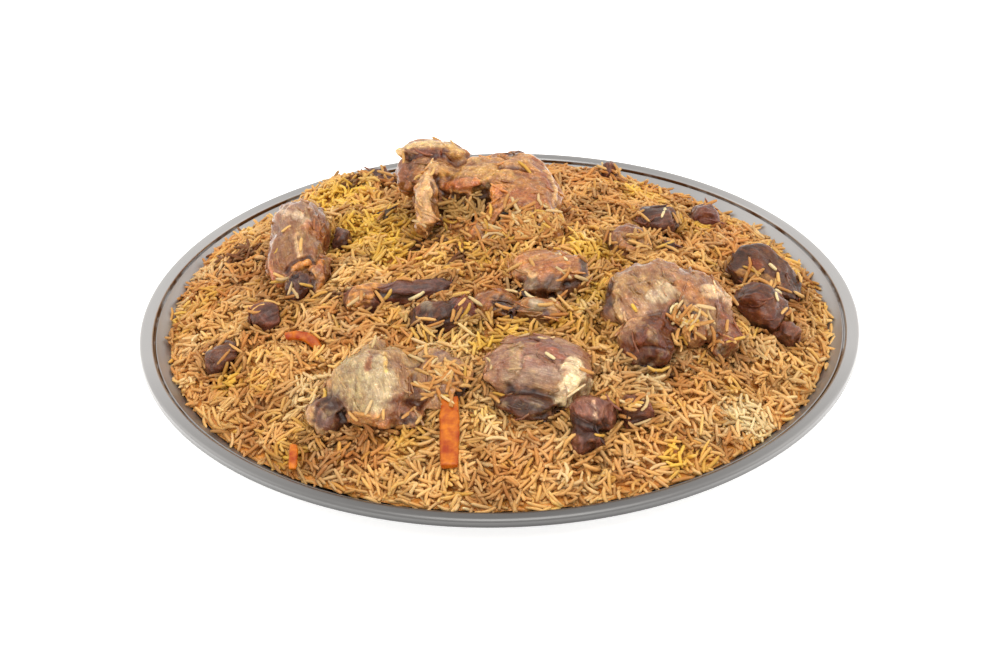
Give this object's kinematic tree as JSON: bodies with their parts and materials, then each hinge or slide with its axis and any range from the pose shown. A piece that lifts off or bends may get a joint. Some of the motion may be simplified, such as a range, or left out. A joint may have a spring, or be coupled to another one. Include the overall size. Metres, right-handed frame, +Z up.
{
  "type": "plate of meat kabuli pulao",
  "caption": "Round steel serving tray heaped with browned and saffron rice, topped with bone-in and lean braised meat and carrot strips.",
  "frame": {"origin": "centre of the tray's flat underside", "axes": "+Z up through the heap, -Y towards the side that the picture was taken from, +X to its right"},
  "size_m": [0.42, 0.42, 0.099],
  "materials": {
    "steel": "satin stainless sheet, spun, with a thin oil stain in the groove",
    "rice": "cooked long grains, brown-orange to saffron yellow and cream, slightly oily",
    "fat_meat": "browned meat under golden to whitish fat and skin, moist",
    "lean_meat": "dark braised lean meat with visible fibres, moist",
    "carrot": "soft fried carrot, orange, moist"
  },
  "bodies": {
    "root": {"tray": "steel", "rice": "rice", "shoulder_joint": "fat_meat", "shank_slice": "fat_meat", "sinew_piece": "fat_meat", "long_strip": "lean_meat", "lean_chunk_centre": "lean_meat", "rib_piece_left": "fat_meat", "lean_chunk_left": "lean_meat", "lean_chunk_far_left": "lean_meat", "neck_piece": "fat_meat", "leg_piece": "fat_meat", "leg_lobe": "lean_meat", "lean_bit_front": "lean_meat", "shoulder_piece_right": "fat_meat", "lean_block_lower": "lean_meat", "lean_block_upper": "lean_meat", "lean_nub_right": "lean_meat", "marrow_ring": "fat_meat", "lean_chunk_back": "lean_meat", "lean_chunk_back_right": "lean_meat", "lean_nub_back": "lean_meat", "lean_nub_left": "lean_meat", "lean_chunk_back_left": "lean_meat", "browned_bit_left": "lean_meat", "browned_bit_back": "lean_meat", "carrot_baton": "carrot", "carrot_curl": "carrot", "carrot_bit": "carrot"}
  },
  "joints": []
}
